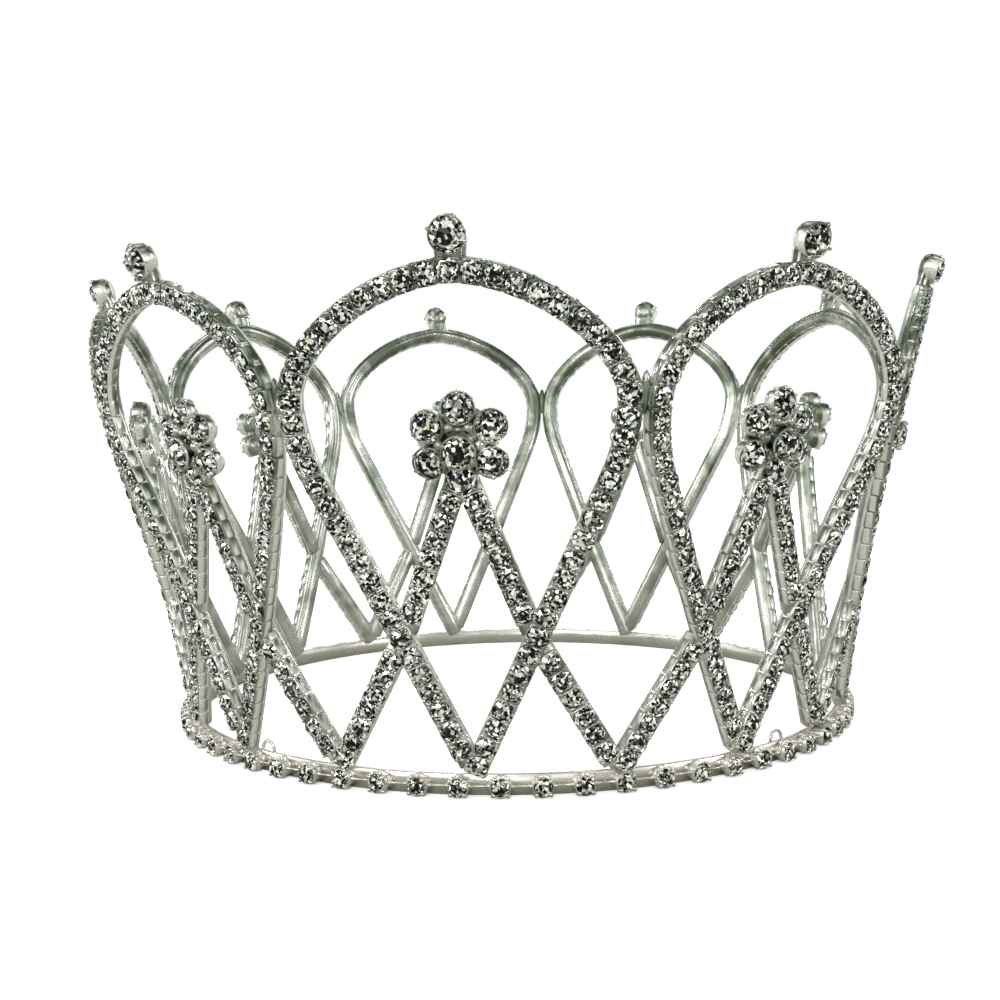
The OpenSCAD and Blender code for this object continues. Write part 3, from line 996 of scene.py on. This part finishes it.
class CROWN_OT_loops(Operator):
    """Makes the nine pointed loops with their stones and finials"""
    bl_idname = "crown.loops"
    bl_label = "Loops and Finials"

    def execute(self, context):
        sizes, finish = context.scene.crown_sizes, context.scene.crown_finish
        layout = Layout(sizes)
        ends = [(BARE_AT_BAND, layout.bare(2 * sizes.side_angle, finish))]
        for k in range(1, LOBES + 1):
            turn = (k - 1) * LOBE_TURN
            spin = Matrix.Rotation(turn, 4, "Z")
            routes = [turned(layout.loop_route(), turn)]
            draw = random.Random(finish.seed + DRAWS["claw"] + k)
            claw_turn = CLAW_TURN + (k > 1) * draw.uniform(-CLAW_SWAY, CLAW_SWAY)
            add_strands("loop", k, routes, ends, [self.finial_metal(layout, spin, claw_turn)])
            place = spin @ layout.place(sizes.finial_height, sizes.finial_out)
            add_piece(f"finial_crystal_{k}",
                      [single_stone(sizes.finial_stone_d, place, finish.seed + k)],
                      large_crystal(), CRYSTAL_SLOT, f"finial_stone_{k}")
        return {"FINISHED"}

    def finial_metal(self, layout, spin, claw_turn):
        """Cup, claws and neck of a finial, and the solder round the loop."""
        s = layout.s
        bm = bmesh.new()
        place = spin @ layout.place(s.finial_height, s.finial_out)
        depth = s.finial_out + s.strand_depth / 2
        lathe(bm, cup_profile(s.finial_stone_d, depth), sides=28, matrix=place)
        claws(bm, s.finial_stone_d, count=4, shift=claw_turn, matrix=place, reach=0.22 * MM)
        # The neck is two rods, one behind the other: widths at five heights, then the middle
        # and half of the depth
        base, half, sides = spin @ layout.place(s.arch_height), s.neck_width / 2, 16
        heights = (-0.9 * MM, 1.0 * MM, 1.9 * MM, 2.8 * MM,
                   s.finial_height - s.arch_height - 0.3 * MM)
        for widths, middle, deep in (((1.3, 1.22, 1.2, 1.25, 1.3), -0.85 * MM, 0.7 * MM),
                                     ((1.3, 1.08, 0.92, 0.98, 1.1), -0.05 * MM, 1.1 * MM)):
            rings = []
            for h, w in zip(heights, widths):
                circle = [around(1, j, sides) for j in range(sides)]
                rings.append([bm.verts.new(base @ Vector((half * w * x, h, middle + deep * y)))
                              for x, y in circle])
            bridge(bm, rings)
        back = s.finial_stone_d / 2 / MM + 0.2
        blob(bm, spin @ layout.place(s.finial_height, -s.strand_depth / 2), (0, -0.2, 1.15),
             (back, back, 1.1))
        blob(bm, spin @ layout.place(layout.foot + 1.6 * MM), (0, 0.4, -0.8), (1.2, 1.5, 0.7))
        side = layout.point(0, layout.touch) / math.cos(LOBE_TURN / 2)
        side.z = layout.touch
        touch = (spin @ Matrix.Rotation(LOBE_TURN / 2, 4, "Z") @ Matrix.Translation(side)
                 @ layout.place(layout.touch).to_3x3().to_4x4())
        blob(bm, touch, (0, 0, -0.6), (0.8, 3.4, 0.8))
        return mesh_from(bm, "finial metal")


class CROWN_OT_peaks(Operator):
    """Makes the legs under the flowers and the flowers on them"""
    bl_idname = "crown.peaks"
    bl_label = "Peaks and Flowers"

    def execute(self, context):
        sizes, finish = context.scene.crown_sizes, context.scene.crown_finish
        layout = Layout(sizes)
        bare = layout.bare(sizes.peak_angle + sizes.side_angle, finish)
        ends = [(BARE_AT_FLOWER, bare)] * 2
        for k in range(1, LOBES + 1):
            turn = (k - 1) * LOBE_TURN
            spin = Matrix.Rotation(turn, 4, "Z")
            routes = [turned(layout.peak_route(side), turn) for side in (1, -1)]
            petals = self.petal_places(layout, spin)
            heart = (spin @ layout.place(sizes.flower_height)
                     @ Matrix.Translation((0, -sizes.heart_drop, sizes.heart_out)))
            cup = setting(sizes.petal_stone_d, sizes.petal_out + sizes.strand_depth / 2, "cup")
            cups = set_along([ring_of(petals)], cup, PETALS, strand_silver(), closed=True)
            add_strands("peak", k, routes, ends, [cups, self.flower_metal(layout, spin, heart)])
            stone = brilliant(sizes.petal_stone_d, "petal stone")
            flower = [set_along([ring_of(petals)], stone, PETALS, large_crystal(),
                                sway=PETAL_SWAY, spin=math.pi,
                                seed=finish.seed + DRAWS["petal"] + k, closed=True),
                      single_stone(sizes.heart_stone_d, heart,
                                   finish.seed + DRAWS["heart"] + k)]
            add_piece(f"flower_crystals_{k}", flower, large_crystal(), CRYSTAL_SLOT,
                      f"flower_stones_{k}")
        return {"FINISHED"}

    def petal_places(self, layout, spin):
        """Where each petal's girdle lies, with Z out of its stone."""
        s = layout.s
        middle = spin @ layout.place(s.flower_height)
        places = []
        for i in range(PETALS):
            turn = math.pi / 2 + 2 * math.pi * i / PETALS
            places.append(middle @ Matrix.Rotation(turn, 4, "Z")
                          @ Matrix.Translation((s.petal_ring, 0, 0))
                          @ Matrix.Rotation(s.petal_tilt, 4, "Y")
                          @ Matrix.Translation((0, 0, s.petal_out)))
        return places

    def flower_metal(self, layout, spin, heart):
        """Heart cup, solder disc behind the flower and solder where the legs meet others."""
        s = layout.s
        bm = bmesh.new()
        depth = s.heart_out + s.strand_depth / 2 - 0.3 * MM
        profile = raised_profile(s.heart_stone_d, depth, s.heart_post_d / 2)
        lathe(bm, profile, sides=24, matrix=heart)
        claws(bm, s.heart_stone_d, count=6, shift=0.5, matrix=heart, reach=0.15 * MM)
        middle = spin @ layout.place(s.flower_height)
        blob(bm, middle, (0, 0, -1.15), (3.9, 3.9, 0.6))
        for i in range(PETALS):
            web = middle @ Matrix.Rotation(2 * math.pi * i / PETALS, 4, "Z")
            blob(bm, web, (s.petal_ring / MM - 0.6, 0, -0.95), (1.0, 1.1, 0.6))
            blob(bm, web, (2.95, 0, 0.9), (0.95, 0.95, 1.15))
        blob(bm, middle, (0, 2.35, 0.9), (0.7, 0.6, 0.9))
        blob(bm, spin @ layout.place(s.peak_height - 3.4 * MM), (0, 0, -0.7), (1.5, 2.2, 0.8))
        cross = spin @ layout.place(layout.cross_z + 1.2 * MM)
        for side in (-1, 1):
            blob(bm, cross, (side * (layout.cross_u / MM - 0.5), 0, -0.95), (1.0, 1.3, 0.6))
        return mesh_from(bm, "flower metal")


class CROWN_OT_feet(Operator):
    """Makes the legs between the loops, down to the band"""
    bl_idname = "crown.feet"
    bl_label = "Feet"

    def execute(self, context):
        sizes, finish = context.scene.crown_sizes, context.scene.crown_finish
        layout = Layout(sizes)
        lean = layout.foot_lean()
        top = layout.bare(lean + sizes.side_angle, finish)
        ends = [(top, BARE_AT_BAND), (top, layout.bare(2 * lean, finish))]
        for k in range(1, LOBES + 1):
            turn = (k - 0.5) * LOBE_TURN
            routes = [turned(layout.foot_route(side), turn) for side in (1, -1)]
            add_strands("foot", k, routes, ends, [self.solder(layout, turn)])
        return {"FINISHED"}

    def solder(self, layout, turn):
        """Solder at the foot, over the band's edge."""
        s = layout.s
        bm = bmesh.new()
        node = Matrix.Translation((0, -s.band_radius, s.band_height))
        blob(bm, Matrix.Rotation(turn, 4, "Z") @ node, (0, 0.5, 1.2), (1.5, 0.8, 1.7))
        return mesh_from(bm, "foot solder")


class CROWN_OT_band(Operator):
    """Makes the flat band with its linked cups, stones and pin loops"""
    bl_idname = "crown.band"
    bl_label = "Band"

    def execute(self, context):
        sizes, finish = context.scene.crown_sizes, context.scene.crown_finish
        reach = sizes.band_radius + sizes.band_thick / 2 + sizes.base_cup_depth
        ring = []
        for i in range(sizes.base_stones):
            a = sizes.base_turn + 2 * math.pi * i / sizes.base_stones
            out = Vector((math.sin(a), -math.cos(a), 0))
            ring.append((out * reach + Vector((0, 0, sizes.band_height / 2)), out))
        sunk = 0.2 * MM
        cup = band_cup(sizes.base_stone_d, sizes.base_cup_depth + sunk, "band cup")
        meshes = [self.strip(sizes, ring),
                  set_along([ring], cup, sizes.base_stones, band_silver(), closed=True)]
        add_piece("band_metal", meshes, band_silver(), METAL_SLOT, "base_band")
        stone = brilliant(sizes.base_stone_d, "band stone")
        add_piece("band_crystals",
                  [set_along([ring], stone, sizes.base_stones, small_crystal(),
                             sway=finish.stone_sway, spin=math.pi, seed=finish.seed,
                             closed=True)],
                  small_crystal(), CRYSTAL_SLOT, "base_stones")
        return {"FINISHED"}

    def strip(self, sizes, ring):
        """The flat strip with softened edges, the link wire and the two pin loops."""
        bm = bmesh.new()
        half, top, edge = sizes.band_thick / 2, sizes.band_height, 0.18 * MM
        section = [(-half + edge, 0), (half - edge, 0), (half, edge), (half, top - edge),
                   (half - edge, top), (-half + edge, top), (-half, top - edge),
                   (-half, edge)]
        steps = 252
        bridge(bm, [[bm.verts.new((*around(sizes.band_radius + r, i, steps), z))
                     for r, z in section] for i in range(steps)], closed=True)
        # A link is thick where it meets the cups and thin between them
        wire = sizes.link_wire_d / 2
        inset = sizes.base_cup_depth / 2
        marks = ((0.24, 1.7), (0.29, 1.3), (0.36, 0.6), (0.64, 0.6), (0.71, 1.3), (0.76, 1.7))
        for (p, out), (q, out_q) in zip(ring, ring[1:] + ring[:1]):
            a, b = p - out * inset, q - out_q * inset
            tube(bm, [a.lerp(b, share) for share, _ in marks],
                 [wire * width for _, width in marks], sides=7)
        radius, bends = sizes.pin_loop_d / 2 + wire, 28
        middle = Vector((0, -(sizes.band_radius - half - wire + 0.2 * MM), top))
        circle = [around(radius, i, bends) for i in range(bends)]
        for turn in (sizes.pin_loop_right, sizes.pin_loop_left):
            spin = Matrix.Rotation(turn, 3, "Z")
            points = [spin @ (middle + Vector((x, 0, z))) for x, z in circle]
            tube(bm, points, [wire] * bends, sides=8, closed=True)
        return mesh_from(bm, "strip")


class CROWN_OT_stage(Operator):
    """Sets the pale floor, the soft studio light and the camera"""
    bl_idname = "crown.stage"
    bl_label = "Stage"

    def execute(self, context):
        self.floor(context)
        self.world(context)
        self.lights(context)
        self.camera(context)
        return {"FINISHED"}

    def floor(self, context):
        """A wide pale floor with a faint unevenness. It is darker in reflections under the
        crown, and lit up behind it and further away as a white backdrop would be."""
        bm = bmesh.new()
        bmesh.ops.create_grid(bm, x_segments=8, y_segments=8, size=3.0)
        floor = bpy.data.objects.new("floor", mesh_from(bm, "floor"))
        material, add, shader = plain_material("Pale floor")
        place = add.node("ShaderNodeTexCoord").outputs["Object"]
        rays = add.node("ShaderNodeLightPath").outputs
        seen, reflected = rays["Is Camera Ray"], rays["Is Glossy Ray"]
        pale, reflected_tone = (*context.scene.crown_finish.floor, 1), (0.36, 0.37, 0.33, 1)
        # The glow rises from the near to the far distance from the axis, and what it adds to
        # reflections rises behind the crown, all in metres
        near, far, near_glow = 0.08, 0.45, 0.45
        behind_from, behind_to, behind_glow = 0.05, 0.3, 0.8
        glow = add.spread(add.vector("LENGTH", place), near, far, near_glow, 1.0)
        behind = add.spread(add.parts(place)["Y"], behind_from, behind_to, 0.0, behind_glow)
        lit = add.number("MULTIPLY", glow, add.number("MULTIPLY_ADD", reflected, behind, seen))
        for label, value in (
                ("Base Color", add.mix(reflected, pale, reflected_tone)),
                ("Roughness", add.spread(add.noise(place, Scale=30.0), 0.0, 1.0, 0.6, 0.8)),
                ("Specular IOR Level", 0.1), ("Emission Color", (1, 1, 1, 1)),
                ("Emission Strength", lit)):
            add.fill(shader[label], value)
        floor.data.materials.append(material)
        context.scene.collection.objects.link(floor)

    def world(self, context):
        """A white backdrop, and a studio with light and darker walls for reflections."""
        world = bpy.data.worlds.new("Studio")
        context.scene.world = world
        world.use_nodes = True
        world.node_tree.nodes.clear()
        add = Wires(world.node_tree)
        way = add.node("ShaderNodeTexCoord").outputs["Generated"]
        walls = add.ramp(add.noise(way, Scale=2.4, Detail=2.0), [
            (0.43, (0.015, 0.017, 0.014, 1)), (0.50, (0.16, 0.17, 0.15, 1)),
            (0.57, (0.8, 0.83, 0.8, 1)), (0.65, (2.3, 2.36, 2.3, 1))])
        backdrop_from, backdrop_to = 0.72, 0.86
        behind = add.spread(add.parts(way)["Y"], backdrop_from, backdrop_to)
        room = add.node("ShaderNodeBackground",
                        {"Color": add.mix(behind, walls, (1, 1, 0.98, 1))})
        white = add.node("ShaderNodeBackground", {"Color": (1, 1, 1, 1)})
        shown = add.node("ShaderNodeMixShader", {
            "Fac": add.node("ShaderNodeLightPath").outputs["Is Camera Ray"],
            1: room.outputs["Background"], 2: white.outputs["Background"]})
        add.node("ShaderNodeOutputWorld", {"Surface": shown.outputs["Shader"]})

    def lights(self, context):
        """Soft boxes above and to the sides, and a ring of small lamps for glints."""
        # Name, place, width in metres and power in watts
        rows = [("Top box", (0.0, 0.1, 1.2), 1.2, 6.5),
                ("Front box", (-0.3, -1.1, 0.55), 0.45, 2.1),
                ("Left box", (-1.1, -0.2, 0.5), 0.4, 1.6),
                ("Right box", (1.0, -0.5, 0.35), 0.3, 1.1),
                ("Back box", (0.3, 1.1, 0.6), 0.5, 1.7),
                ("High lamp", (0.1, 0.5, 1.0), 0.06, 0.3)]
        lamps, lowest, rise, share_up = 11, 0.2, 0.65, 0.62
        for i in range(lamps):
            a, height = 2 * math.pi * i / lamps, lowest + rise * (i * share_up % 1)
            rows.append((f"Lamp {i + 1}", (math.sin(a), -math.cos(a), height), 0.09, 0.38))
        aim = Vector((0, 0, 0.04))
        for name, at, size, power in rows:
            data = bpy.data.lights.new(name, "AREA")
            data.shape, data.size, data.energy = "DISK", size, power
            lamp = bpy.data.objects.new(name, data)
            lamp.location = at
            lamp.visible_camera = False
            lamp.visible_glossy = name != "Top box"
            lamp.rotation_euler = (aim - Vector(at)).to_track_quat("-Z", "Y").to_euler()
            context.scene.collection.objects.link(lamp)

    def camera(self, context):
        """The photograph's point of view."""
        front, away, height = math.radians(5.9598), 257.3996 * MM, 60.1214 * MM
        yaw, pitch, roll = (math.radians(v) for v in (-0.5918, 4.1048, 1.0549))
        data = bpy.data.cameras.new("Camera")
        data.sensor_width = 36.0
        data.lens = 45.2075
        data.clip_start = 0.005
        camera = bpy.data.objects.new("Camera", data)
        camera.matrix_world = (
            Matrix.Translation((away * math.sin(front), -away * math.cos(front), height))
            @ Matrix.Rotation(front - yaw, 4, "Z") @ Matrix.Rotation(-pitch, 4, "X")
            @ Matrix.Rotation(roll, 4, "Y") @ Matrix.Rotation(math.pi / 2, 4, "X"))
        context.scene.collection.objects.link(camera)
        context.scene.camera = camera
        context.scene.view_settings.view_transform = "Standard"


class CROWN_PT_finish(Panel):
    """Sizes, colours and steps of the crown's finish"""
    bl_idname = "CROWN_PT_finish"
    bl_label = "Crystal Crown"
    bl_space_type = "VIEW_3D"
    bl_region_type = "UI"
    bl_category = "Crown"

    def draw(self, context):
        column = self.layout.column()
        for group in (context.scene.crown_sizes, context.scene.crown_finish):
            for name in group.__annotations__:
                column.prop(group, name)
        for operator in OPERATORS:
            column.operator(operator.bl_idname)


OPERATORS = (CROWN_OT_stage, CROWN_OT_band, CROWN_OT_feet, CROWN_OT_peaks, CROWN_OT_loops)
CLASSES = (CrownSizes, CrownFinish, *OPERATORS, CROWN_PT_finish)


def register():
    for cls in CLASSES:
        bpy.utils.register_class(cls)
    bpy.types.Scene.crown_sizes = PointerProperty(type=CrownSizes)
    bpy.types.Scene.crown_finish = PointerProperty(type=CrownFinish)


def unregister():
    del bpy.types.Scene.crown_finish
    del bpy.types.Scene.crown_sizes
    for cls in reversed(CLASSES):
        bpy.utils.unregister_class(cls)


def main():
    register()
    bpy.ops.crown.stage()
    bpy.ops.crown.band()
    bpy.ops.crown.feet()
    bpy.ops.crown.peaks()
    bpy.ops.crown.loops()


if __name__ == "__main__":
    main()
